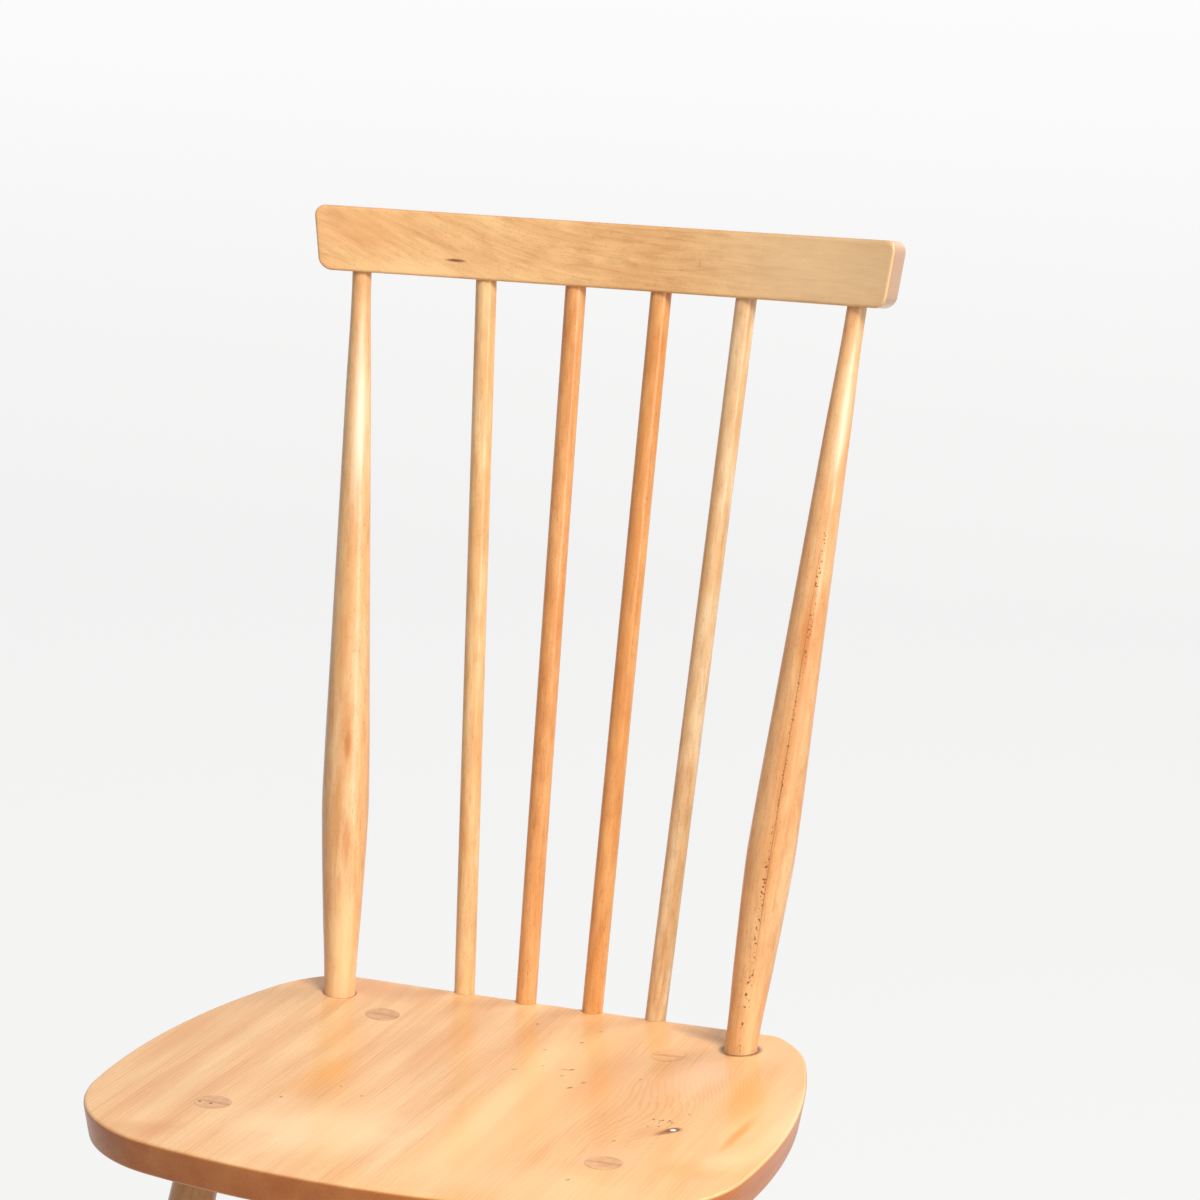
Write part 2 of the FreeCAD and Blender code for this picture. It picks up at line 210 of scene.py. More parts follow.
def ring_faces(rings, around):
    """Quads between rings of points, each ring closed, with a fan to a pole at both ends.

    The first and last points are the poles, and each ring's points follow one another.
    """
    index = 1 + np.arange(rings * around).reshape(rings, around)
    after = np.roll(index, -1, axis=1)
    head = [(0, there, here) for there, here in zip(after[0], index[0])]
    tail = [(index[-1, -1] + 1, here, there) for here, there in zip(index[-1], after[-1])]
    return [*head, *quads(index, True), *tail]


def between_poles(rings):
    """Rings of points as one list, with a single point for the first ring and for the last."""
    return np.concatenate([rings[:1, 0], rings[1:-1].reshape(-1, 3), rings[-1:, 0]])


def smooth_sizes(stations, places):
    """Sizes at these places on the smooth curve through (place, size) stations.

    The curve is a cubic between each pair. Its slope at a station is the harmonic mean of the
    slopes on both sides, or level at a crest, so it never runs past a station's size.
    """
    spot, size = np.array(stations, float).T
    gap = np.diff(spot)
    rise = np.diff(size) / gap
    slope = np.zeros_like(size)
    same = rise[1:] * rise[:-1] > 0
    pair = rise[1:] + rise[:-1]
    slope[1:-1] = np.where(same, 2 * rise[1:] * rise[:-1] / np.where(same, pair, 1), 0)
    slope[0], slope[-1] = rise[0], rise[-1]
    span = np.clip(np.searchsorted(spot, places, side="right") - 1, 0, len(gap) - 1)
    t = (places - spot[span]) / gap[span]
    ends = (2 * t ** 3 - 3 * t ** 2 + 1) * size[span] + (3 * t ** 2 - 2 * t ** 3) * size[span + 1]
    leans = (t ** 3 - 2 * t ** 2 + t) * slope[span] + (t ** 3 - t ** 2) * slope[span + 1]
    return ends + gap[span] * leans


def axes(start, end):
    """Unit vectors along a turning and across it, the first one across nearest to the X axis."""
    along = unit(end - start)
    side = np.array((1, 0, 0) if abs(along[0]) < 0.9 else (0, 0, 1))
    across = unit(side - along * (side @ along))
    return along, across, np.cross(along, across)


def dish_and_tail(x, y):
    """The height of the seat's top at a place in plan.

    The hollow is a bowl, depth * (1 - (x/a)^2 - (y/b)^2), eased into the flat top round it.
    The tail is a cylinder's roll and then a plain slope, and the lower of the two holds.
    """
    bowl = DISH_DEPTH * (1 - (x / DISH_HALF_WIDTH) ** 2
                         - ((y - DISH_MIDDLE) / DISH_HALF_LENGTH) ** 2)
    hollow = (bowl + np.sqrt(bowl ** 2 + DISH_EASE ** 2)) / 2
    past = np.maximum(y - TAIL_START, 0)
    roll = TAIL_ROUND * math.sin(TAIL_ANGLE)
    on_roll = TAIL_ROUND - np.sqrt(TAIL_ROUND ** 2 - np.minimum(past, roll) ** 2)
    slope = on_roll + np.maximum(past - roll, 0) * math.tan(TAIL_ANGLE)
    lower = (hollow + slope + np.sqrt((hollow - slope) ** 2 + DISH_EASE ** 2)) / 2 - DISH_EASE / 2
    return SEAT_TOP - np.maximum(lower, 0)


def onto_seat(points, along, proud):
    """Points slid along an axis until they stand this far over the seat's top.

    Each step closes the gap that the last one left, and two are enough on so flat a top.
    """
    for step in range(2):
        height = dish_and_tail(points[..., 0], points[..., 1]) + proud
        points = points + along * ((height - points[..., 2]) / along[2])[..., None]
    return points


def turned(name, start, end, stations, material, slot, nodes, around=64, step=3, top=None,
           low=None, origin=(0, 0, 0), turn=0, round_end=0):
    """A lathe turning: circles of smooth_sizes at each place along a straight axis.

    top slides the first end along the axis to that height over the seat, and low slides the
    last one to a level, with its edge rounded by round_end. Both ends close in four rings and
    a pole, in END_WOOD. origin and turn give the blank's place and turn in its plank.
    """
    start, end = np.array(start, float), np.array(end, float)
    along, across, ahead = axes(start, end)
    first, last = stations[0][0], stations[-1][0]
    knots = np.array([place for place, size in stations], float)
    even = np.linspace(first, last, int((last - first) / step) + 2)
    places = np.unique(np.round(np.concatenate([knots, even]), 3))
    if low is not None:
        places = places[(places < places[-1] - LEVEL_CUT) | (places == places[-1])]
    sizes = smooth_sizes(stations, places)
    cap = np.append(0, CAP_RINGS)
    places = np.concatenate([np.full(5, first), places, np.full(5, last)])
    sizes = np.concatenate([sizes[0] * cap, sizes, sizes[-1] * cap[::-1]])
    angle = np.linspace(0, 2 * math.pi, around, endpoint=False)
    spoke = np.cos(angle)[:, None] * across + np.sin(angle)[:, None] * ahead
    points = start + places[:, None, None] * along + (sizes / 2)[:, None, None] * spoke
    rim = len(places) - 6
    if round_end:
        points[rim] = start + (places[rim] - round_end) * along + (sizes[rim] / 2) * spoke
        points[rim + 1] = start + places[rim] * along + (sizes[rim] / 2 - round_end) * spoke
    if top is not None:
        points[:6] = onto_seat(points[:6], along, top)
    if low is not None:
        level = np.array([low + round_end] + [low] * 5)[:, None]
        points[rim:] += along * ((level - points[rim:, :, 2]) / along[2])[..., None]
    local = points - start
    grain = np.stack([local @ across, local @ ahead, local @ along], axis=-1)
    cos, sin = math.cos(turn), math.sin(turn)
    wood = np.stack([grain[..., 0] * cos - grain[..., 1] * sin,
                     grain[..., 0] * sin + grain[..., 1] * cos, grain[..., 2]], axis=-1)
    faces = ring_faces(len(places) - 2, around)
    kind = np.zeros(len(faces), np.int32)
    kind[:around * 5] = kind[-around * 5:] = 1
    mesh_piece(name, between_poles(points), faces, between_poles(wood + np.array(origin)),
               [material, END_WOOD], nodes, kind)


# Seat boards

def corner_centre(first, first_radius, second, second_radius, radius):
    """The centre of a corner arc that touches two larger arcs from inside, on the +X side."""
    one, two = first_radius - radius, second_radius - radius
    apart = second - first
    length = np.linalg.norm(apart)
    along = (one ** 2 - two ** 2 + length ** 2) / (2 * length)
    off = math.sqrt(one ** 2 - along ** 2)
    way = apart / length
    square = np.array((-way[1], way[0]))
    return max((first + way * along + square * side * off for side in (-1, 1)),
               key=lambda spot: spot[0])


def seat_edge():
    """The seat's whole outline in plan, closed, as points and outward normals.

    Five arcs follow one another on the +X side, from the back's middle to the front's, and
    the other side is their mirror image.
    """
    back = np.array((0, SEAT_BACK - BACK_BOW))
    side = np.array((SEAT_HALF - SIDE_BOW, SEAT_WIDEST))
    front = np.array((0, SEAT_FRONT + FRONT_BOW))
    rear_turn = corner_centre(back, BACK_BOW, side, SIDE_BOW, REAR_CORNER)
    front_turn = corner_centre(side, SIDE_BOW, front, FRONT_BOW, FRONT_CORNER)
    turns = [math.pi / 2]
    for one, two in ((back, rear_turn), (side, rear_turn), (side, front_turn),
                     (front, front_turn)):
        way = two - one
        turns.append(math.atan2(way[1], way[0]))
    turns.append(-math.pi / 2)
    arcs = ((back, BACK_BOW), (rear_turn, REAR_CORNER), (side, SIDE_BOW),
            (front_turn, FRONT_CORNER), (front, FRONT_BOW))
    spots, normals = [], []
    for (centre, radius), here, there in zip(arcs, turns, turns[1:]):
        angle = np.linspace(here, there, ARC_STEPS)
        normal = np.stack([np.cos(angle), np.sin(angle)], axis=-1)
        spots.append(centre + radius * normal)
        normals.append(normal)
    spots, normals = np.concatenate(spots), np.concatenate(normals)
    flip = np.array((-1, 1))
    return (np.concatenate([spots, spots[::-1] * flip]),
            np.concatenate([normals, normals[::-1] * flip]))


def joint_x(y):
    """The glued joint between the boards, a straight line a little askew."""
    return JOINT_BACK + (JOINT_FRONT - JOINT_BACK) * (SEAT_BACK - y) / (SEAT_BACK - SEAT_FRONT)


def beside_joint(sign, y):
    """Points of a board's edge along the joint, half a glue line off it."""
    return np.stack([joint_x(y) + sign * JOINT_GAP, y], axis=-1)


def board_edge(sign, count):
    """One board's share of the outline, from the joint at the back round to the joint in front."""
    spots, normals = seat_edge()
    beyond = sign * (spots[:, 0] - joint_x(spots[:, 1])) > JOINT_GAP
    spots, normals = spots[beyond][::sign], normals[beyond][::sign]
    from_joint = np.abs(spots[:, 0] - joint_x(spots[:, 1]))
    start = int(np.argmin(np.where(spots[:, 1] < 0, math.inf, from_joint)))
    spots, normals = np.roll(spots, -start, 0), np.roll(normals, -start, 0)
    for end, tip in ((0, SEAT_BACK), (-1, SEAT_FRONT)):
        spots[end, 0] = joint_x(tip) + sign * JOINT_GAP
    length = np.append(0, np.cumsum(np.linalg.norm(np.diff(spots, axis=0), axis=1)))
    even = np.linspace(0, length[-1], count)
    spot = np.stack([np.interp(even, length, spots[:, axis]) for axis in (0, 1)], axis=-1)
    normal = np.stack([np.interp(even, length, normals[:, axis]) for axis in (0, 1)], axis=-1)
    normal /= np.linalg.norm(normal, axis=1)[:, None]
    return spot, normal, even / length[-1]


def seat_board(name, sign, material, nodes):
    """A board: its outline is carried in over the top to the joint, and back underneath.

    Across the rim each row is the outline moved in by an inset and down by a drop, which turn a
    quarter circle at the top arris, run straight down the undercut wall and turn another
    quarter at the lower arris. The top rows share out the way from the rim to the joint.
    """
    spot, normal, share = board_edge(sign, BOARD_STEPS)
    spine = beside_joint(sign, SEAT_BACK - TOP_ARRIS
                         + (SEAT_FRONT - SEAT_BACK + 2 * TOP_ARRIS) * share)
    rim = spot - normal * TOP_ARRIS
    rim[0], rim[-1] = spine[0], spine[-1]
    toward = np.sin(np.linspace(0, 1, BOARD_ROWS) * math.pi / 2)[:, None, None]
    plan = spine + (rim - spine) * toward
    top = np.concatenate([plan, dish_and_tail(plan[..., 0], plan[..., 1])[..., None]], axis=-1)
    rows = [top]
    start = top[-1, :, 2]
    wall = start - TOP_ARRIS - (SEAT_TOP - SEAT_THICK) - LOW_ARRIS
    insets = [(TOP_ARRIS * (1 - math.sin(t)), TOP_ARRIS * (1 - math.cos(t)), 0)
              for t in BOARD_TURN]
    insets += [(0, TOP_ARRIS, down) for down in BOARD_WALL_ROWS]
    insets += [(LOW_ARRIS * (1 - math.cos(t)), TOP_ARRIS + LOW_ARRIS * math.sin(t), 1)
               for t in BOARD_TURN]
    for inset, drop, down in insets:
        height = start - drop - wall * down
        tuck = UNDERCUT * np.clip(SEAT_TOP - height, 0, SEAT_THICK) / SEAT_THICK
        place = spot - normal * (inset + tuck)[:, None]
        place[[0, -1]] = beside_joint(sign, place[[0, -1], 1])
        rows.append(np.concatenate([place, height[:, None]], axis=-1)[None])
    under = place
    low_spine = beside_joint(sign, under[0, 1] + (under[-1, 1] - under[0, 1]) * share)
    back = np.linspace(1, 0, BOARD_FLAT_ROWS)[1:, None, None]
    flat = low_spine + (under - low_spine) * back
    level = np.full(flat.shape[:2] + (1,), SEAT_TOP - SEAT_THICK)
    rows.append(np.concatenate([flat, level], axis=-1))
    grid = np.concatenate(rows)
    tall, wide = grid.shape[:2]
    index = np.arange(tall * wide).reshape(tall, wide)
    faces = np.concatenate([quads(index), quads(index[[0, -1]])])[:, [0, 3, 2, 1]][:, ::sign]
    ends = index[len(top) - 1:, 0][::-sign], index[len(top) - 1:, -1][::sign]
    points = grid.reshape(-1, 3)
    wood = points[:, [0, 2, 1]] - (0, SEAT_TOP, 0)
    mesh_piece(name, points, [*faces, *ends], wood, [material], nodes)


# Legs, stretchers and back

def leg_line(row, sign):
    """A leg's axis, from the seat's top plane to the floor."""
    across, place, out, forward = row
    top = np.array((sign * across, place, SEAT_TOP))
    return top, top + (sign * SEAT_TOP * math.tan(out), SEAT_TOP * math.tan(forward), -SEAT_TOP)


def leg_stations(line):
    """Distances from the seat's top plane and diameters: tenon, shoulder and turning.

    The tenon starts 1.5 mm under the dished top, and the shoulder 3 mm under the board.
    """
    slant = np.linalg.norm(line[1] - line[0]) / SEAT_TOP
    under = SEAT_THICK * slant + 3
    hollow = SEAT_TOP - float(dish_and_tail(line[0][0], line[0][1]))
    return ([(hollow + 1.5, LEG_TENON), (under, LEG_TENON), (under + 1.2, LEG_NECK - 0.6),
             (under + 5, LEG_NECK + 0.2)]
            + [((SEAT_TOP - height) * slant, size) for height, size in LEG_TURNING])


def post_line(sign):
    """A post's axis, from the seat's top plane to the rail's lower edge."""
    return np.array((sign * POST_SEAT, 0, SEAT_TOP)), rail_spot(sign * POST_RAIL)


def spindle_line(low, high):
    """A spindle's axis, between its places across the seat and across the rail."""
    return np.array((low, SPINDLE_SET_BACK, SEAT_TOP)), rail_spot(high)


def on_leg(line, height):
    """The point of a leg's axis at this height over the floor."""
    return line[0] + (line[1] - line[0]) * (SEAT_TOP - height) / SEAT_TOP


def lengthened(start, end, more):
    """A line made longer by this much at both ends, and its length."""
    way = unit(end - start)
    start, end = start - way * more, end + way * more
    return start, end, np.linalg.norm(end - start)


def stretcher_stations(length, tenon, end_size, swell):
    """Parallel ends twice as long as the tenons, and an even swell up to the full middle."""
    taper = (length - STRETCHER_FULL) / 2 - 2 * tenon
    rise = [(0, end_size), (2 * tenon, end_size),
            (2 * tenon + taper / 2, (end_size + swell) / 2), (2 * tenon + taper, swell),
            (length / 2, swell + 0.2)]
    return rise + [(length - place, size) for place, size in rise[-2::-1]]


def wedge_piece(name, line, material):
    """A wedge driven down a leg's tenon, its top flush with the seat.

    Each ring is a slim oblong inside the tenon's circle, as thick as the taper is there.
    """
    top, foot = line
    along, across, ahead = axes(top, foot)
    across, ahead = -across, -ahead
    reach = math.sqrt((LEG_TENON / 2) ** 2 - (WEDGE_THICK / 2) ** 2) - WEDGE_SHORT
    way = np.linspace(-reach, reach, WEDGE_STEPS)
    way = np.append(way, way[::-1])[:, None] * across
    side = np.repeat((0.5, -0.5), WEDGE_STEPS)[:, None] * ahead
    depths = np.array((0, 0, 0, 5, 10, WEDGE_DEEP, WEDGE_DEEP))[:, None, None]
    thick = np.interp(depths, (0, WEDGE_DEEP), (WEDGE_THICK, WEDGE_TIP))
    spread = np.array((0, 0.9, 1, 1, 1, 1, 0))[:, None, None]
    points = top + depths * along + way * spread + side * (thick * spread)
    points[:3] = onto_seat(points[:3], along, WEDGE_PROUD)
    local = points - top
    wood = np.stack([local @ across + 40, local @ ahead, local @ along], axis=-1)
    mesh_piece(name, between_poles(points), ring_faces(len(depths) - 2, 2 * WEDGE_STEPS),
               between_poles(wood), [material], [name])


def rail_arc(across):
    """How far behind the posts' tops the middle of the rail's thickness lies."""
    return np.sqrt(RAIL_RADIUS ** 2 - across ** 2) - math.sqrt(RAIL_RADIUS ** 2 - POST_RAIL ** 2)


def rail_base():
    """The middle of the rail's lower edge line, where the posts' tops meet it."""
    return np.array((0, BACK_HEIGHT * math.sin(RAKE), SEAT_TOP + BACK_HEIGHT * math.cos(RAKE)))


def rail_spot(across):
    """A point on the rail's lower edge, in the middle of its thickness."""
    back = float(rail_arc(across))
    return rail_base() + (across, back * math.cos(RAIL_LEAN), -back * math.sin(RAIL_LEAN))


def rail_edge(length):
    """The rail's outline in elevation, flat, as points and outward normals.

    It runs along the top, round the +X end by two quarter circles, and back along the bottom.
    The other end is the mirror image.
    """
    inner = length - RAIL_CORNER
    along = np.linspace(-1, 1, RAIL_STEPS) * inner
    up = np.linspace(0, 1, RAIL_END_STEPS) * (RAIL_HIGH - 2 * RAIL_CORNER) + RAIL_CORNER
    turn = np.linspace(0, math.pi / 2, RAIL_END_STEPS)[1:-1]
    bend = np.column_stack([np.sin(turn), np.cos(turn)])
    down = bend[::-1] * (1, -1)
    end = [((inner, RAIL_HIGH - RAIL_CORNER) + RAIL_CORNER * bend, bend),
           (np.column_stack([np.full(RAIL_END_STEPS, length), up[::-1]]),
            np.tile((1, 0), (RAIL_END_STEPS, 1))),
           ((inner, RAIL_CORNER) + RAIL_CORNER * down, down)]
    flip = np.array((-1, 1))
    far_end = [(spots[::-1] * flip, normals[::-1] * flip) for spots, normals in end[::-1]]
    top, bottom = [(np.column_stack([way, np.full(RAIL_STEPS, height)]),
                    np.tile((0, facing), (RAIL_STEPS, 1)))
                   for way, height, facing in ((along, RAIL_HIGH, 1), (along[::-1], 0, -1))]
    spots, normals = zip(top, *end, bottom, *far_end)
    return np.concatenate(spots), np.concatenate(normals)


def rail_piece(name, material, nodes):
    """The bent rail: its rounded outline in elevation is carried across the thickness.

    Each row is the outline moved in by an inset that turns a quarter circle at both arrises.
    The face rows share out the way to the middle line. Then the board is slanted and skewed at
    its ends, bent to its arc and leaned back.
    """
    length = (RAIL_HALF_TOP + RAIL_HALF_BOTTOM) / 2
    edge, normal = rail_edge(length)
    reach = length - RAIL_HIGH / 2
    middle = np.stack([np.clip(edge[:, 0], -reach, reach), np.full(len(edge), RAIL_HIGH / 2)], 1)
    rim = edge - normal * RAIL_ARRIS
    face = -RAIL_THICK / 2
    rows = [(middle + (rim - middle) * share, face) for share in RAIL_FACE_ROWS]
    rows += [(edge - normal * RAIL_ARRIS * (1 - math.sin(t)), face + RAIL_ARRIS * (1 - math.cos(t)))
             for t in RAIL_TURN]
    rows += [(edge, face / 2 + RAIL_ARRIS / 2)]
    rows += [(edge, 0)] + [(plan, -through) for plan, through in rows[::-1]]
    flat = np.array([np.column_stack([plan, np.full(len(edge), through)])
                     for plan, through in rows])
    across, up, through = flat[..., 0], flat[..., 1], flat[..., 2]
    slant = (RAIL_HALF_BOTTOM + (RAIL_HALF_TOP - RAIL_HALF_BOTTOM) * up / RAIL_HIGH) / length
    skew = np.sign(across) * (np.abs(across) / length) ** 8 * through * math.tan(RAIL_SKEW)
    span = across * slant + skew
    y = (np.sqrt((RAIL_RADIUS + through) ** 2 - span ** 2)
         - math.sqrt(RAIL_RADIUS ** 2 - POST_RAIL ** 2))
    cos, sin = math.cos(RAIL_LEAN), math.sin(RAIL_LEAN)
    base = rail_base()
    points = np.stack([span, base[1] + y * cos + up * sin, base[2] + up * cos - y * sin], axis=-1)
    past = span - RAIL_GRAIN_TURN
    slope = RAIL_GRAIN_LEFT + (RAIL_GRAIN_RIGHT - RAIL_GRAIN_LEFT) / (
        1 + np.exp(-past / RAIL_GRAIN_EASE))
    wood = np.stack([up + slope * past, through, span], axis=-1)
    tall, wide = points.shape[:2]
    faces = quads(np.arange(tall * wide).reshape(tall, wide), True)
    mesh_piece(name, points.reshape(-1, 3), faces, wood.reshape(-1, 3), [material], nodes)


# Materials

def linear(colour):
    """The linear colour of an sRGB hex value."""
    parts = np.array([int(colour[i:i + 2], 16) for i in (1, 3, 5)]) / 255
    light = np.where(parts <= 0.04045, parts / 12.92, ((parts + 0.055) / 1.055) ** 2.4)
    return (*light, 1)


def add(tree, kind, inputs=(), out=0, **settings):
    """One output of a new shader node with its settings, and its inputs set or linked.

    The inputs are by name or number, or the first ones in their order.
    """
    made = tree.nodes.new("ShaderNode" + kind)
    for name, value in settings.items():
        setattr(made, name, value)
    for name, value in inputs.items() if isinstance(inputs, dict) else enumerate(inputs):
        if isinstance(value, bpy.types.NodeSocket):
            tree.links.new(value, made.inputs[name])
        else:
            made.inputs[name].default_value = value
    return made.outputs[out] if made.outputs else None


def blot(tree, colour, spot, half, tint, share, turn=(0, 0, 0), core=0.2, ragged=0.5,
         grains=None):
    """Tints a patch of a surface: an ellipsoid round a spot, fading from its core to its edge.

    spot and half are in millimetres, turn in degrees. A noise of about a quarter of the patch's
    size frays its edge. With grains it is a scatter of dots of that many millimetres.
    """
    where = add(tree, "TexCoord", out="Object")
    home = tuple((np.array(spot) + (0, SHIFT_Y, 0)) * 0.001)
    local = add(tree, "Mapping", {"Vector": where, "Location": home, "Rotation": np.radians(turn),
                                  "Scale": tuple(np.array(half) * 0.001)}, vector_type="TEXTURE")
    edge = add(tree, "VectorMath", (local,), "Value", operation="LENGTH")
    if ragged:
        torn = add(tree, "TexNoise", {"Vector": local, "Scale": 2.2, "Detail": 2})
        edge = add(tree, "Math", (torn, ragged, edge), operation="MULTIPLY_ADD")
    fade = add(tree, "MapRange", (edge, core + ragged / 2, 1 + ragged / 2, share, 0),
               interpolation_type="SMOOTHSTEP")
    if grains is not None:
        dotted = add(tree, "TexNoise", {"Vector": where, "Scale": 1000 / grains, "Detail": 0})
        apart = add(tree, "MapRange", (dotted, 0.6, 0.68, 0, 1))
        fade = add(tree, "Math", (fade, apart), operation="MULTIPLY")
    return add(tree, "Mix", {0: fade, 6: colour, 7: linear(tint)}, 2, data_type="RGBA")


def clouds(tree, colour, rows):
    """Tints soft patches of the seat, CLOUD_DEEP through, one row of a table after another."""
    for x, y, height, across, along, tint, share, turn in rows:
        colour = blot(tree, colour, (x, y, height), (across, along, CLOUD_DEEP), tint, share,
                      (0, 0, turn))
    return colour


def dots(tree, colour, rows, stretch, deep, tint, share, turn=0, core=0.3, ragged=0):
    """Tints small dots, each row a place and half a width, stretched along the seat."""
    for x, y, height, size in rows:
        colour = blot(tree, colour, (x, y, height), (size, size * stretch, deep), tint, share,
                      (0, 0, turn), core, ragged)
    return colour


def ring_mark(tree, colour, spot, radius, soft, tint, share):
    """Tints a thin circle round a spot in plan, for the glue line of a round tenon."""
    where = add(tree, "TexCoord", out="Object")
    home = (spot[0] * 0.001, (spot[1] + SHIFT_Y) * 0.001, 0)
    flat = add(tree, "VectorMath", (where, (1, 1, 0)), operation="MULTIPLY")
    away = add(tree, "VectorMath", (flat, home), "Value", operation="DISTANCE")
    off = add(tree, "Math", (away, radius * 0.001), operation="SUBTRACT")
    near = add(tree, "Math", (off,), operation="ABSOLUTE")
    line = add(tree, "MapRange", (near, 0, soft * 0.001, share, 0))
    return add(tree, "Mix", {0: line, 6: colour, 7: linear(tint)}, 2, data_type="RGBA")


def beech(name, pale, honey, deep, ring=2.6, wander=3, ring_depth=0.16, fleck_depth=0.3,
          pith=(30, -90), rough=0.3, cloud_size=(22, 22, 90), fibre_size=(0.8, 0.8, 22),
          mottle_size=(5, 5, 16), mottle_depth=0.3, fibre_depth=0.22, gloss=0.36, coat=0.25,
          swirl=None, marks=None):
    """Lacquered beech, cut from a plank whose pith lies to one side.

    Growth rings are circles round the pith that wander along the grain, a few millimetres
    apart, each with a thin dark late edge. Fibres are about a millimetre wide. The short dark
    flecks that mark beech, in truth 0.2 mm wide, are drawn 0.5 mm wide and 3 mm long to show.
    Slow clouds shift the tone from pale to honey and weaken the rings, and finer mottles reach
    the deep tone. Each size is in millimetres, twice across the grain and then along it.
    """
    material = bpy.data.materials.new(name)
    material.use_nodes = True
    tree = material.node_tree
    shader = tree.nodes["Principled BSDF"]
    place = add(tree, "Attribute", out="Vector", attribute_name="wood_place")
    noises = []
    for size, detail in (((40, 40, 240), 2), ((9, 9, 60), 2), (cloud_size, 3), (mottle_size, 3),
                         (fibre_size, 3), ((0.5, 1, 3), 1)):
        scaled = add(tree, "Mapping", {"Vector": place, "Scale": tuple(1 / mm for mm in size)})
        noises.append(add(tree, "TexNoise", {"Vector": scaled, "Scale": 1, "Detail": detail}))
    drift, jitter, cloud, mottle, fibre, dash = noises
    core = add(tree, "Mapping", {"Vector": place, "Location": (-pith[0] / ring, -pith[1] / ring, 0),
                                 "Scale": (1 / ring, 1 / ring, 0)})
    radius = add(tree, "VectorMath", (core,), "Value", operation="LENGTH")
    slid = add(tree, "Math", (drift, wander, radius), operation="MULTIPLY_ADD")
    count = add(tree, "Math", (jitter, 2.2, slid), operation="MULTIPLY_ADD")
    if swirl is not None:
        count = swirl(tree, count)
    phase = add(tree, "Math", (count,), operation="FRACT")
    late = add(tree, "MapRange", (phase, 0.55, 0.88, 0, ring_depth),
               interpolation_type="SMOOTHSTEP")
    fall, tone, clear, patch, streak, fleck, sheen = (
        add(tree, "MapRange", (source, low, high, first, last))
        for source, low, high, first, last in (
            (phase, 0.9, 1, 1, 0), (cloud, 0.34, 0.64, 0, 1), (cloud, 0.36, 0.6, 0.2, 1.1),
            (mottle, 0.42, 0.72, 0, mottle_depth), (fibre, 0.4, 0.7, 0, fibre_depth),
            (dash, 0.6, 0.74, 0, fleck_depth), (fibre, 0.3, 0.7, rough, rough + 0.1)))
    darker = late
    for value, way in ((fall, "MULTIPLY"), (clear, "MULTIPLY"), (streak, "ADD"), (fleck, "ADD")):
        darker = add(tree, "Math", (darker, value), operation=way)
    share = add(tree, "Math", (darker, patch), operation="ADD", use_clamp=True)
    ground = add(tree, "Mix", {0: tone, 6: linear(pale), 7: linear(honey)}, 2, data_type="RGBA")
    colour = add(tree, "Mix", {0: share, 6: ground, 7: linear(deep)}, 2, data_type="RGBA")
    if marks is not None:
        colour = marks(tree, colour)
    relief = add(tree, "Math", (fibre, darker), operation="SUBTRACT")
    bump = add(tree, "Bump", {"Height": relief, "Strength": 0.1, "Distance": 0.0001})
    for value, name in ((colour, "Base Color"), (sheen, "Roughness"), (bump, "Normal")):
        tree.links.new(value, shader.inputs[name])
    shader.inputs["Specular IOR Level"].default_value = gloss
    shader.inputs["Coat Weight"].default_value = coat
    shader.inputs["Coat Roughness"].default_value = 0.16
    return material


def edge_tint_and_shade(tree, colour):
    """The boards' sawn edges take up more lacquer than their faces and go browner; the same tint is
    also painted shade on these walls, which face away from the light.
    """
    facing = add(tree, "NewGeometry", out="Normal")
    upright = add(tree, "SeparateXYZ", (facing,), "Z")
    level = add(tree, "Math", (upright,), operation="ABSOLUTE")
    side = add(tree, "MapRange", (level, 0.2, 0.75, 1, 0))
    return add(tree, "Mix", {0: side, 6: colour, 7: linear("#D2A278")}, 2, data_type="RGBA",
               blend_type="MULTIPLY")


def seat_spot(foot, head):
    """Where a line through the seat meets its top, as low as the top is at the line's foot."""
    drop = SEAT_TOP - float(dish_and_tail(*foot[:2]))
    return foot - (head - foot) * drop / (head - foot)[2]


def foot_marks(tree, colour, side, post_glue_and_shade):
    """A thin glue line round each tenon, post and spindle that stands in one seat board; at the
    right post the ring is widened into painted shade in the gap round its foot.
    """
    rings = [(seat_spot(*leg_line(row, side)), LEG_TENON / 2 + 0.15, 0.45, "#8A5A34", 0.5)
             for row in (FRONT_LEG, REAR_LEG)]
    rings += [((side * POST_SEAT, 0), POST_FOOT / 2 + post_glue_and_shade * 0.4, post_glue_and_shade, "#54290E", 0.9)]
    rings += [(seat_spot(*spindle_line(*places)), SPINDLE_SIZE / 2 + 0.4, 0.9, "#6E4525", 0.5)
              for places in zip(SPINDLE_SEAT, SPINDLE_RAIL) if places[0] * side > 0]
    for ring in rings:
        colour = ring_mark(tree, colour, *ring)
    return colour


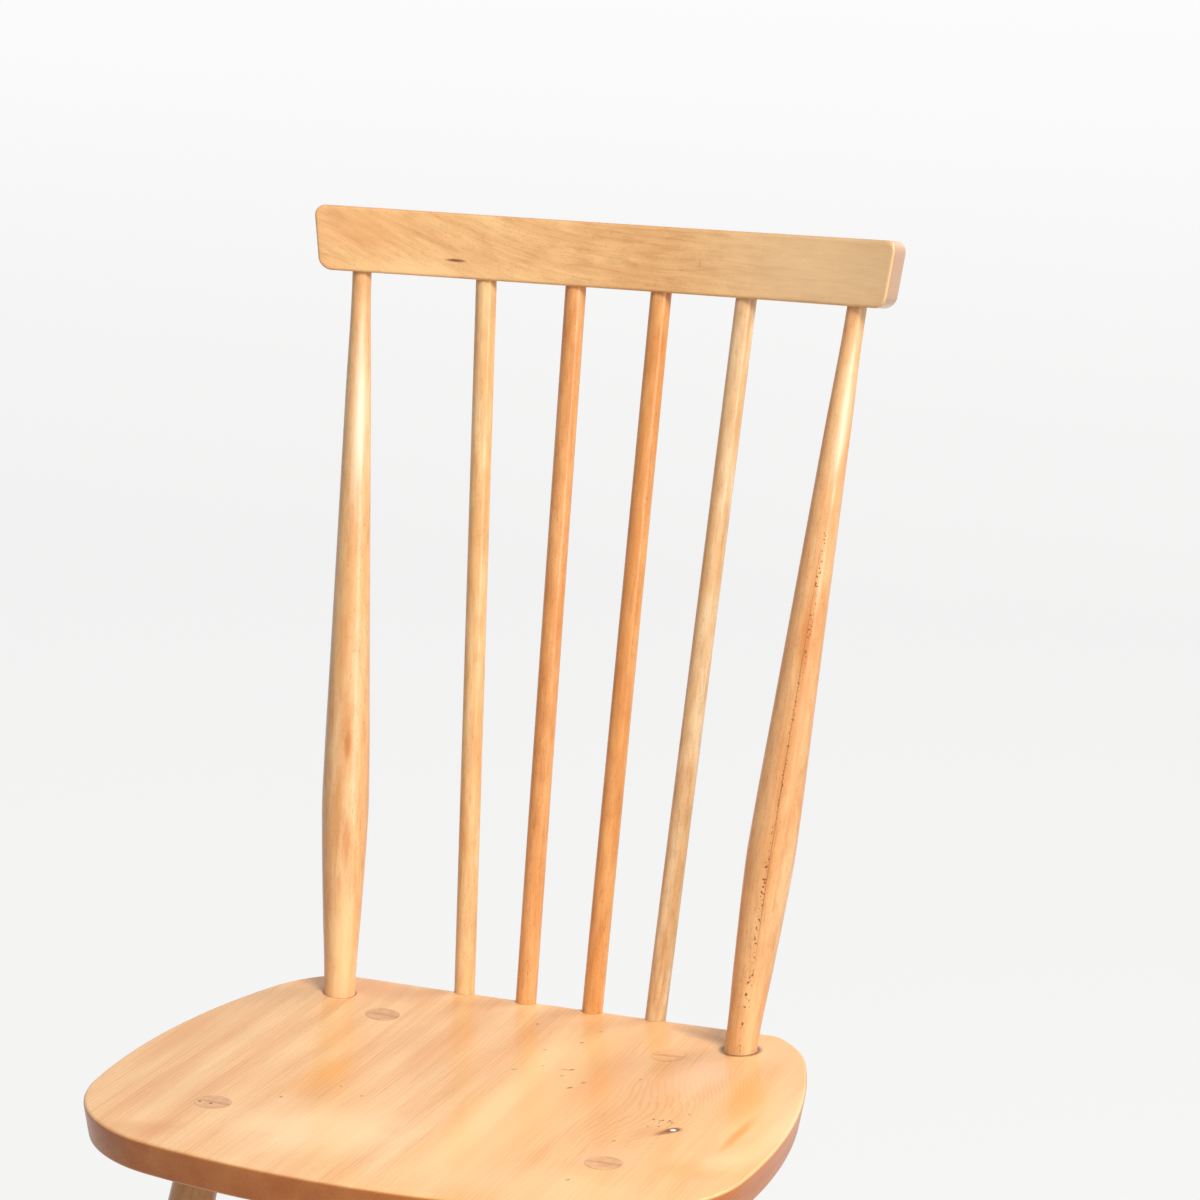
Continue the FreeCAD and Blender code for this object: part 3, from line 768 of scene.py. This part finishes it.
# Clouds: x, y and height, half sizes across and along, tint, share and turn in degrees. Half
# their depth is the same for all
CLOUD_DEEP = 14
ROSY_CLOUDS = (
    (-148, -287, 434, 46, 20, "#D08A4C", 0.4, 24),
    (-87, -146, 431, 20, 52, "#F2AC5C", 0.5, 0),
    (-101, -72, 431, 22, 40, "#F0AA62", 0.3, 0),
    (-40, -60, 430, 24, 85, "#DE9558", 0.42, 0),
    (-120, 22, 434, 70, 26, "#DFA070", 0.5, 0),
    (-196, -130, 434, 14, 90, "#E2A266", 0.5, 0),
    (-50, -240, 432, 80, 64, "#FFE0B0", 0.6, 0))
GOLDEN_CLOUDS_AND_SHADOW = (
    (42, -150, 431, 50, 250, "#F6C587", 0.75, 0),
    (30, -130, 431, 16, 200, "#FBD9A0", 0.6, 3),
    (204, -110, 434, 30, 170, "#F5CA94", 0.75, -4),
    (110, -275, 434, 110, 46, "#F7CD98", 0.5, 0),
    (165, 10, 434, 60, 44, "#F1BF88", 0.65, 0),
    (60, 30, 434, 70, 44, "#F0BA84", 0.4, 0),
    (172, -90, 434, 20, 58, "#F2A85C", 0.5, 4),
    (184.5, -150, 434, 5, 46, "#EE9C4C", 0.75, -2),
    (178, -218, 434, 30, 22, "#F0A862", 0.5, 0),
    (74, -95, 431, 20, 84, "#F3A866", 0.5, 0),
    (130, -60, 432, 34, 60, "#F8C49E", 0.5, -14),
    (128, -215, 432, 30, 34, "#F5C094", 0.4, 0),
    (206, -140, 434, 11, 100, "#F8D6A2", 0.5, -4),
    (192, -192, 434, 16, 36, "#F8D7A2", 0.5, -20),
    # The last row is a painted shadow that the right post casts back over the board.
    (112, 20, 430, 40, 11, "#B98A5E", 0.6, -26))


# Dots: x, y, height and half a width
SCUFFS = ((-94, -197, 433, 1.4), (-52, -170, 431, 1.2), (-70, -160, 431, 1),
          (-1.3, 6.3, 430, 1.3))
KNOT = (146.1, -158.2, 434.5)
KNOT_PINS = (
    (133.7, -148.2, 434.5, 0.7), (133.2, -144.1, 434.5, 0.9), (134.6, -142.7, 434.5, 1.1),
    (138.4, -144.9, 434.5, 0.7), (141.1, -145.3, 434.5, 0.9), (138.9, -142.6, 434.5, 1.1),
    (129.2, -155.5, 434.5, 0.7), (135.5, -154.1, 434.5, 0.9), (128.8, -142.5, 434.5, 1.1),
    (146.5, -127.8, 434.5, 0.7))
PIN_HOLES = (
    (42.5, 7.4, 431, 0.8), (38, -17.1, 431, 1.1), (49.4, -68.4, 431, 1.4),
    (47.4, -81.5, 431, 0.8), (64.8, -89.3, 431, 1.1), (59.8, -101.3, 431, 1.4),
    (96.9, -72.6, 431, 0.8), (118.4, -187.6, 431, 1.1), (115.5, -260.9, 431, 1.4),
    (0.5, -52, 431, 0.8))
FAINT_PINS = ((20.2, -38.5, 431, 1.1), (15.1, -81.4, 431, 1.4), (29.6, -67.6, 431, 0.8))
TENON_DOTS = ((-133.2, -229.6, 435, 1.6), (-125.6, -230, 435, 1.6),
              (-114.6, -231.5, 434.6, 1.6), (90.8, -18.6, 434, 1.6))

# Width of the glue line round each post's foot; at the right post it is wide enough to paint the
# shade in the gap round the foot too
LEFT_POST_GLUE = 0.9
RIGHT_POST_GLUE_AND_SHADE = 3.2


def rosy_marks(tree, colour):
    """The left board's own features: amber clouds, a browner front corner and small scuffs."""
    colour = clouds(tree, colour, ROSY_CLOUDS)
    colour = dots(tree, colour, SCUFFS, 1.6, 4, "#8A4E20", 0.7)
    return edge_tint_and_shade(tree, foot_marks(tree, colour, -1, LEFT_POST_GLUE))


def golden_marks(tree, colour):
    """The right board's own: a knot, pins, calm and honey patches, painted highlights and a painted
    shadow.
    """
    colour = clouds(tree, colour, GOLDEN_CLOUDS_AND_SHADOW)
    x, y, height = KNOT
    for spot, half, tint, share, turn, core, ragged in (
            ((134, -166, 434), (20, 13, 8), "#DC9A64", 0.55, 57, 0.2, 0.5),
            ((x - 2.5, y - 3.5, height), (13, 4.6, 6), "#96532A", 0.85, 57, 0.3, 0.5),
            (KNOT, (7, 5, 6), "#7A3E18", 0.92, 50, 0.5, 0.2),
            # The last row paints a white highlight on the knot's core.
            (KNOT, (2.1, 2.1, 6), "#FFFFFF", 1, 0, 0.75, 0)):
        colour = blot(tree, colour, spot, half, tint, share, (0, 0, turn), core, ragged)
    colour = dots(tree, colour, KNOT_PINS, 1.9, 6, "#6A3416", 0.85)
    for pins, share in ((PIN_HOLES, 0.9), (FAINT_PINS, 0.5)):
        colour = dots(tree, colour, pins, 2.2, 8, "#7A3E14", share, -40, 0.35, 0.2)
    colour = blot(tree, colour, (45.5, -69.5, 431), (5, 1.2, 8), "#9A5E30", 0.7, ragged=0)
    colour = foot_marks(tree, colour, 1, RIGHT_POST_GLUE_AND_SHADE)
    # A painted highlight just in front of the right post's foot.
    colour = blot(tree, colour, (POST_SEAT + 1, -14.6, SEAT_TOP), (4, 0.8, 6), "#F0D49C",
                  0.8, core=0.3, ragged=0.3)
    return edge_tint_and_shade(tree, colour)


def golden_swirl(tree, count):
    """Bends the right board's rings round its knot.

    The count of rings falls by nine in the middle of an ellipse, 66 by 110 mm from middle to
    rim, that lies behind the knot and is turned a little.
    """
    where = add(tree, "TexCoord", out="Object")
    home = tuple((np.array(KNOT) + (6, SHIFT_Y + 22, 0)) * 0.001)
    local = add(tree, "Mapping", {"Vector": where, "Location": home, "Rotation": (0, 0, 0.16),
                                  "Scale": (0.066, 0.11, 1)}, vector_type="TEXTURE")
    away = add(tree, "VectorMath", (local,), "Value", operation="LENGTH")
    swell = add(tree, "MapRange", (away, 0, 1, 9, 0), interpolation_type="SMOOTHSTEP")
    return add(tree, "Math", (count, swell), operation="SUBTRACT")


def end_marks(tree, colour):
    """The tenon ends differ: dark pin dots, a rosy streak, and one that all but vanishes."""
    colour = blot(tree, colour, (95, -19, 434), (16, 16, 8), "#F3BB82", 0.8, core=0.8,
                  ragged=0)
    colour = blot(tree, colour, (129, -231, 433), (10, 4, 8), "#C98A66", 0.6)
    return dots(tree, colour, TENON_DOTS, 1, 4, "#4A2A12", 0.9)


def rail_marks(tree, colour):
    """The rail's own features: a dark pith fleck, a faint tick, clouds, rosier sawn ends, and
    painted shade on its top and ends.

    Each row is x, the distance behind the front face and up from the lower edge, and half sizes.
    """
    base = rail_base()
    face = base[1] - RAIL_THICK / 2
    for x, up, half, tint, share in ((-108.2, 10.8, (9.5, 5, 1.5), "#6E3410", 1),
                                     (59, 19, (0.8, 5, 4.5), "#B06C34", 0.5)):
        spot = (x, face + float(rail_arc(x)) + 1, base[2] + up)
        colour = blot(tree, colour, spot, half, tint, share, (0, 2, 0), core=0.3, ragged=0.25)
    for x, back, up, half, tint, share in (
            (150, 0, 22, (150, 60, 60), "#F3D2A2", 0.6),
            (-165, 10, 30, (40, 30, 22), "#D99A5C", 0.35),
            (-120, 10, 2, (90, 30, 12), "#FAD29A", 0.35)):
        colour = blot(tree, colour, (x, face + back, base[2] + up), half, tint, share)
    facing = add(tree, "NewGeometry", out="Normal")
    apart = add(tree, "SeparateXYZ", (facing,)).node.outputs
    across = add(tree, "Math", (apart["X"],), operation="ABSOLUTE")
    # Painted shade: the top face and the sawn ends are darkened by the way they face the light; on
    # the ends the tint is partly their rosier end grain too.
    for way, low, high, share, tint in ((apart["Z"], 0.5, 0.95, 0.85, "#C79262"),
                                        (across, 0.6, 0.9, 0.8, "#B88A6A")):
        there = add(tree, "MapRange", (way, low, high, 0, share))
        colour = add(tree, "Mix", {0: there, 6: colour, 7: linear(tint)}, 2, data_type="RGBA")
    return colour


# Posts: the way to the face that the camera sees, half a patch's depth and the splay in degrees,
# and rows of distance from the seat, share off to one side, half width and height, share, tint
POST_FACE = (0.27, -0.96)
POST_PATCH_DEEP = 13
POST_SPLAY = 3.7
LEFT_STREAKS_AND_HIGHLIGHT = (
    (169, 0.2, 3.2, 14, 0.75, "#B5682C"), (175, 0.1, 7, 48, 0.5, "#D08540"),
    (125, -0.2, 6, 40, 0.5, "#D08540"), (104, 0.3, 4, 24, 0.55, "#C67A38"),
    (240, -0.3, 6, 60, 0.4, "#DB9854"), (280, 0, 4, 60, 0.3, "#DB9854"),
    # The first row on the next line is a painted highlight near the post's top; the second is paler
    # wood at its foot.
    (400, 0.15, 7, 110, 0.85, "#FFF6DE"), (30, 0.2, 13, 62, 0.65, "#FBDCA6"))
RIGHT_CLOUDS_AND_HIGHLIGHT = (
    (267, 0.1, 6.5, 42, 0.62, "#CC7A34"), (215, 0.3, 6, 60, 0.45, "#D58C4A"),
    (345, 0.3, 5, 26, 0.5, "#D9904C"), (130, -0.3, 8, 60, 0.3, "#DE9D5C"),
    # The first row on the next line is a painted highlight near the post's top; the second is paler
    # wood at its foot.
    (420, 0.15, 6, 80, 0.7, "#FFF0D0"), (30, 0.2, 10, 40, 0.35, "#FBD9A0"))
RIGHT_SPECKS = ((35, -0.1, 2.4, 40), (105, -0.1, 1.8, 55), (200, 0, 1.2, 70), (300, 0.1, 1.6, 60))
SPECK_SIZES = (2.3, 1.8, 1.3, 1.5)
RIGHT_LINE = ((190, 0, 3, 190, 0.22, "#BE7636"), (190, 0, 0.5, 175, 0.45, "#7E4218"))


def post_point(sign, away, radius, off):
    """A point on the front of a post, away from the seat, off to one side by a share."""
    foot, head = post_line(sign)
    face = np.array((POST_FACE[0] + off, POST_FACE[1], 0))
    return foot + unit(head - foot) * away + face * radius


def along_post(tree, colour, sign, radius, rows, **finish):
    """Tints patches down the front of a post, one row of a table after another."""
    for away, off, across, tall, share, tint in rows:
        colour = blot(tree, colour, post_point(sign, away, radius, off),
                      (across, POST_PATCH_DEEP, tall), tint, share,
                      (-math.degrees(RAKE), sign * POST_SPLAY, 0), **finish)
    return colour


def left_post_marks(tree, colour):
    """The left post's own features: honey streaks at its swell, pale wood at its foot and a painted
    highlight near its top.
    """
    return along_post(tree, colour, -1, 13, LEFT_STREAKS_AND_HIGHLIGHT)


def right_post_marks(tree, colour):
    """The right post's own features: honey clouds, a long thin line of pin specks and a painted
    highlight near its top.
    """
    colour = along_post(tree, colour, 1, 12, RIGHT_CLOUDS_AND_HIGHLIGHT)
    for row, grains in zip(RIGHT_SPECKS, SPECK_SIZES):
        colour = along_post(tree, colour, 1, 13, [row + (0.85, "#6A3414")], core=0.6, ragged=0.3,
                            grains=grains)
    return along_post(tree, colour, 1, 13, RIGHT_LINE, core=0.4, ragged=0.7)


# Both seat boards are sanded finer and lacquered satin
BOARD = {"pith": (-700, 700), "fleck_depth": 0.2, "mottle_depth": 0.16, "fibre_depth": 0.12,
         "rough": 0.36, "gloss": 0.3, "coat": 0.2}
# Beech of the left seat board: rosier, with tight straight rings
SEAT_ROSY = beech("beech_board_rosy", "#F8CD97", "#EEB67E", "#BE7A46", ring=1.8, wander=1.5,
                  ring_depth=0.2, cloud_size=(18, 18, 260), fibre_size=(1.6, 1.6, 200),
                  mottle_size=(14, 14, 90), marks=rosy_marks, **BOARD)
# Beech of the right seat board: yellower, with a wider figure that bends round a knot
SEAT_GOLDEN = beech("beech_board_golden", "#F5C68C", "#EEB67A", "#C67F4C", ring=2.1, wander=4,
                    ring_depth=0.24, cloud_size=(20, 20, 220), fibre_size=(1.2, 1.2, 160),
                    mottle_size=(12, 12, 60), swirl=golden_swirl, marks=golden_marks, **BOARD)
# Turned beech of the legs, its tones darkened to paint the shade that the seat casts on them
LEG_WOOD = beech("beech_leg", "#D8A671", "#C88F5A", "#96602F", ring=2.8, pith=(60, -40))
# The same beech across the grain, sanded flush on the seat and a little duller there
END_WOOD = beech("beech_end_grain", "#EBBC8C", "#E0AA7A", "#AE764A", ring=1.6, pith=(20, -25),
                 fleck_depth=0.5, rough=0.38, coat=0.1, marks=end_marks)
# Split wedges, a shade darker than the tenons
WEDGE_WOOD = beech("beech_wedge", "#E4B283", "#D29B6A", "#8F5B35", ring=1.2, rough=0.36)
PALE_WEDGE_WOOD = beech("beech_wedge_pale", "#EDB680", "#E2A86E", "#B07A48", ring=1.2, rough=0.38)
POST_WEDGE_WOOD = beech("beech_post_wedge", "#D99F68", "#CC8C56", "#96592F", ring=1.2, rough=0.36)
# Turned beech of the stretchers
STRETCHER_WOOD = beech("beech_stretcher", "#E9B984", "#DCA26A", "#AF7341", ring=2.6,
                       pith=(50, 30))
# Turned beech of the posts, sapwood-pale with honey clouds
POST_LEFT_WOOD = beech("beech_post_left", "#F3CC98", "#EBB67C", "#C8854A", ring=4.2,
                       ring_depth=0.18, fleck_depth=0.4, pith=(10, -70),
                       cloud_size=(14, 14, 90), marks=left_post_marks)
POST_RIGHT_WOOD = beech("beech_post_right", "#F0C792", "#E6A96E", "#BE7A43", ring=4.2,
                        ring_depth=0.18, fleck_depth=0.45, pith=(-40, -60),
                        cloud_size=(14, 14, 80), marks=right_post_marks)
# Dowelled beech of the spindles, each from another strip
SPINDLE_WOODS = [
    beech("beech_spindle_" + str(number), pale, honey, deep, ring=ring, pith=pith,
          cloud_size=(9, 9, cloud), fleck_depth=fleck)
    for number, (pale, honey, deep, ring, pith, cloud, fleck) in enumerate((
        ("#F4CF98", "#EAB678", "#C2834A", 4, (40, 10), 60, 0.3),
        ("#EDB274", "#DF9855", "#B26A34", 3.6, (-30, 20), 60, 0.42),
        ("#EAAE6C", "#DA914B", "#B6703A", 3.6, (25, -30), 60, 0.42),
        ("#F4D8AE", "#E4B680", "#B07E4C", 4, (-45, -15), 70, 0.3)), 1)]
# Steam-bent beech of the top rail, cut so that its grain slants down at one end
RAIL_WOOD = beech("beech_rail", "#F2C488", "#E6B278", "#B57C44", ring=2.2, wander=4,
                  fleck_depth=0.5, pith=(-20, -160), cloud_size=(16, 16, 60), coat=0.6,
                  marks=rail_marks)


# The chair: origin and turn give each turning another part of its plank

legs = {}
for row_name, row in (("front", FRONT_LEG), ("rear", REAR_LEG)):
    for side_name, sign in SIDES:
        name = row_name + "_" + side_name
        line = leg_line(row, sign)
        legs[name] = line
        turned("turned_leg_" + name, *line, leg_stations(line), LEG_WOOD, "leg_beech",
               ["leg_" + name], top=TENON_PROUD, low=0, round_end=LEG_ROUND,
               origin=(sign * 37, 20 if row is FRONT_LEG else -55, 90 * sign),
               turn=0.6 * sign + (0.9 if row is REAR_LEG else 0))
        wedge_piece("leg_wedge_" + name, line,
                    PALE_WEDGE_WOOD if name == "rear_right" else WEDGE_WOOD)

middles = []
for side_name, sign in SIDES:
    start, end, length = lengthened(on_leg(legs["front_" + side_name], STRETCHER_HEIGHT),
                                    on_leg(legs["rear_" + side_name], STRETCHER_HEIGHT), SIDE_BITE)
    middles.append((start + end) / 2)
    turned("turned_side_stretcher_" + side_name, start, end,
           stretcher_stations(length, SIDE_TENON, SIDE_END, SIDE_SWELL), STRETCHER_WOOD,
           "stretcher_beech", ["side_stretcher_" + side_name], around=48,
           origin=(sign * 25, 12, 40), turn=0.8 * sign)

start, end, length = lengthened(*middles, CROSS_BITE)
turned("turned_cross_stretcher", start, end,
       stretcher_stations(length, CROSS_TENON, CROSS_END, CROSS_SWELL), STRETCHER_WOOD,
       "stretcher_beech", ["cross_stretcher"], around=48, origin=(-60, 33, 10))

for (side_name, sign), material in zip(SIDES, (POST_LEFT_WOOD, POST_RIGHT_WOOD)):
    foot, head = post_line(sign)
    length = np.linalg.norm(head - foot)
    below = (SEAT_THICK - POST_SHORT) * length / (head - foot)[2]
    stations = [(-below - POST_PLAIN, POST_FOOT), (POST_PLAIN, POST_FOOT), *POST_TURNING,
                (length - POST_PLAIN, POST_TOP), (length + POST_RAIL_TENON, POST_TOP)]
    turned("turned_post_" + side_name, head, foot,
           [(length - place, size) for place, size in stations[::-1]], material, "post_beech",
           ["back_post_" + side_name], low=SEAT_TOP - SEAT_THICK + POST_SHORT,
           origin=(sign * 18, 30, 60), turn=0.5 * sign)

for number, (low, high) in enumerate(zip(SPINDLE_SEAT, SPINDLE_RAIL), 1):
    foot, head = spindle_line(low, high)
    length = np.linalg.norm(head - foot)
    stations = [(-SPINDLE_SEAT_TENON, SPINDLE_SIZE), (length / 2, SPINDLE_SIZE),
                (length + SPINDLE_RAIL_TENON, SPINDLE_SIZE)]
    turned("dowel_spindle_" + str(number), foot, head, stations, SPINDLE_WOODS[number - 1],
           "spindle_beech", ["spindle_" + str(number)], around=48, step=8,
           origin=(number * 31, 17, number * 140), turn=number * 1.1)

seat_board("sawn_board_left", -1, SEAT_ROSY, ["seat_board_left"])
seat_board("sawn_board_right", 1, SEAT_GOLDEN, ["seat_board_right"])
rail_piece("top_rail_board", RAIL_WOOD, ["top_rail"])

# Wedges under the seat are small and plain, so they stay as the frame has them
for side_name, sign in SIDES:
    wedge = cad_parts["post_wedge_" + side_name]
    wedge.data.materials.clear()
    wedge.data.materials.append(POST_WEDGE_WOOD)


# Floor, light and camera, in metres

FLOOR_FRONT = -4
FLOOR_HALF = 6
BEND_START = 3.6
BEND_RADIUS = 1.2
BEND_STEPS = 24
WALL_TOP = 5
LAMP_TARGET = (0, 0, 0.6)
AIR_LEVEL = 0.34

# The photograph was taken from the right and a little above the rail, with a long lens, whose
# length and the picture's width are both in the photograph's pixels here
CAMERA_PLACE = (0.7193, -1.91785, 1.1558)
CAMERA_RIGHT = (0.94407, 0.32820, 0.03178)
CAMERA_UP = (-0.09542, 0.17966, 0.97909)
CAMERA_BACK = (0.31563, -0.92736, 0.20093)
FOCAL_SHARE = 3401 / 1200
SENSOR = 36


def seen_plainly(tree):
    """One for rays from the camera, a reflection or a clear body, and nought for soft light."""
    ray = add(tree, "LightPath").node.outputs
    sharp = add(tree, "Math", (ray["Is Camera Ray"], ray["Is Glossy Ray"]), operation="ADD")
    return add(tree, "Math", (sharp, ray["Is Transmission Ray"]), operation="ADD",
               use_clamp=True)


def pale_surface(name, seen, lit):
    """Matt paint: the camera and reflections see its pale colour, mostly by its own light.

    The share of its own light rises a little over the first metre up from the floor.
    """
    material = bpy.data.materials.new(name)
    material.use_nodes = True
    tree = material.node_tree
    tree.nodes.clear()
    where = add(tree, "TexCoord", out="Object")
    height = add(tree, "SeparateXYZ", (where,), "Z")
    own = add(tree, "MapRange", (height, 0, 1, 0.86, 0.97))
    share = add(tree, "Math", (seen_plainly(tree), own), operation="MULTIPLY")
    matt = add(tree, "BsdfDiffuse", {"Color": linear(lit)})
    glow = add(tree, "Emission", {"Color": linear(seen), "Strength": 1})
    blend = add(tree, "MixShader", (share, matt, glow))
    add(tree, "OutputMaterial", {"Surface": blend})
    return material


def backdrop():
    """A floor that turns up into a wall: its profile is a line, a quarter circle and a line."""
    bend = np.linspace(0, math.pi / 2, BEND_STEPS)
    run = np.concatenate([[FLOOR_FRONT], BEND_START + BEND_RADIUS * np.sin(bend),
                          [BEND_START + BEND_RADIUS]])
    rise = np.concatenate([[0], BEND_RADIUS * (1 - np.cos(bend)), [WALL_TOP]])
    points = [(x, y, z) for y, z in zip(run, rise) for x in (-FLOOR_HALF, FLOOR_HALF)]
    mesh = bpy.data.meshes.new("studio_floor")
    mesh.from_pydata(points, [], quads(np.arange(len(points)).reshape(-1, 2)))
    mesh.shade_smooth()
    mesh.materials.append(pale_surface("painted_floor", "#FFFFFF", "#BEBAB4"))
    floor = bpy.data.objects.new("studio_floor", mesh)
    bpy.context.scene.collection.objects.link(floor)


def set_up(name, data, right, up, back, place):
    """A lamp or camera in the scene: its own axes and place are the columns of its matrix."""
    made = bpy.data.objects.new(name, data)
    columns = np.column_stack([right, up, back, place])
    made.matrix_world = Matrix(np.vstack([columns, (0, 0, 0, 1)]).tolist())
    bpy.context.scene.collection.objects.link(made)
    return made


def lamp(name, place, size, power, colour):
    """A square soft box at a place, turned to the middle of the chair."""
    light = bpy.data.lights.new(name, "AREA")
    light.size = size
    light.energy = power
    light.color = linear(colour)[:3]
    back = unit(place - np.array(LAMP_TARGET))
    side = unit(np.cross((0, 0, 1), back))
    set_up(name, light, side, np.cross(back, side), back, place)


backdrop()
lamp("key_softbox", (1.5, -1.25, 2.6), 1.1, 74, "#FFF8F0")
lamp("window_softbox", (2.3, -1.15, 1.1), 0.8, 13, "#FFFFFF")
lamp("back_softbox", (1.2, 1.4, 2.5), 0.8, 20, "#FFFFFF")

world = bpy.data.worlds.new("studio_air")
bpy.context.scene.world = world
world.use_nodes = True
air = world.node_tree
air.nodes.clear()
level = add(air, "MapRange", {0: seen_plainly(air), 3: AIR_LEVEL, 4: 1})
sky = add(air, "Background", {"Color": linear("#F6F8FA"), "Strength": level})
add(air, "OutputWorld", {"Surface": sky})

lens = bpy.data.cameras.new("photo_camera")
lens.sensor_width = SENSOR
lens.lens = SENSOR * FOCAL_SHARE
bpy.context.scene.camera = set_up("photo_camera", lens, CAMERA_RIGHT, CAMERA_UP, CAMERA_BACK,
                                  CAMERA_PLACE)
bpy.context.scene.view_settings.view_transform = "Standard"
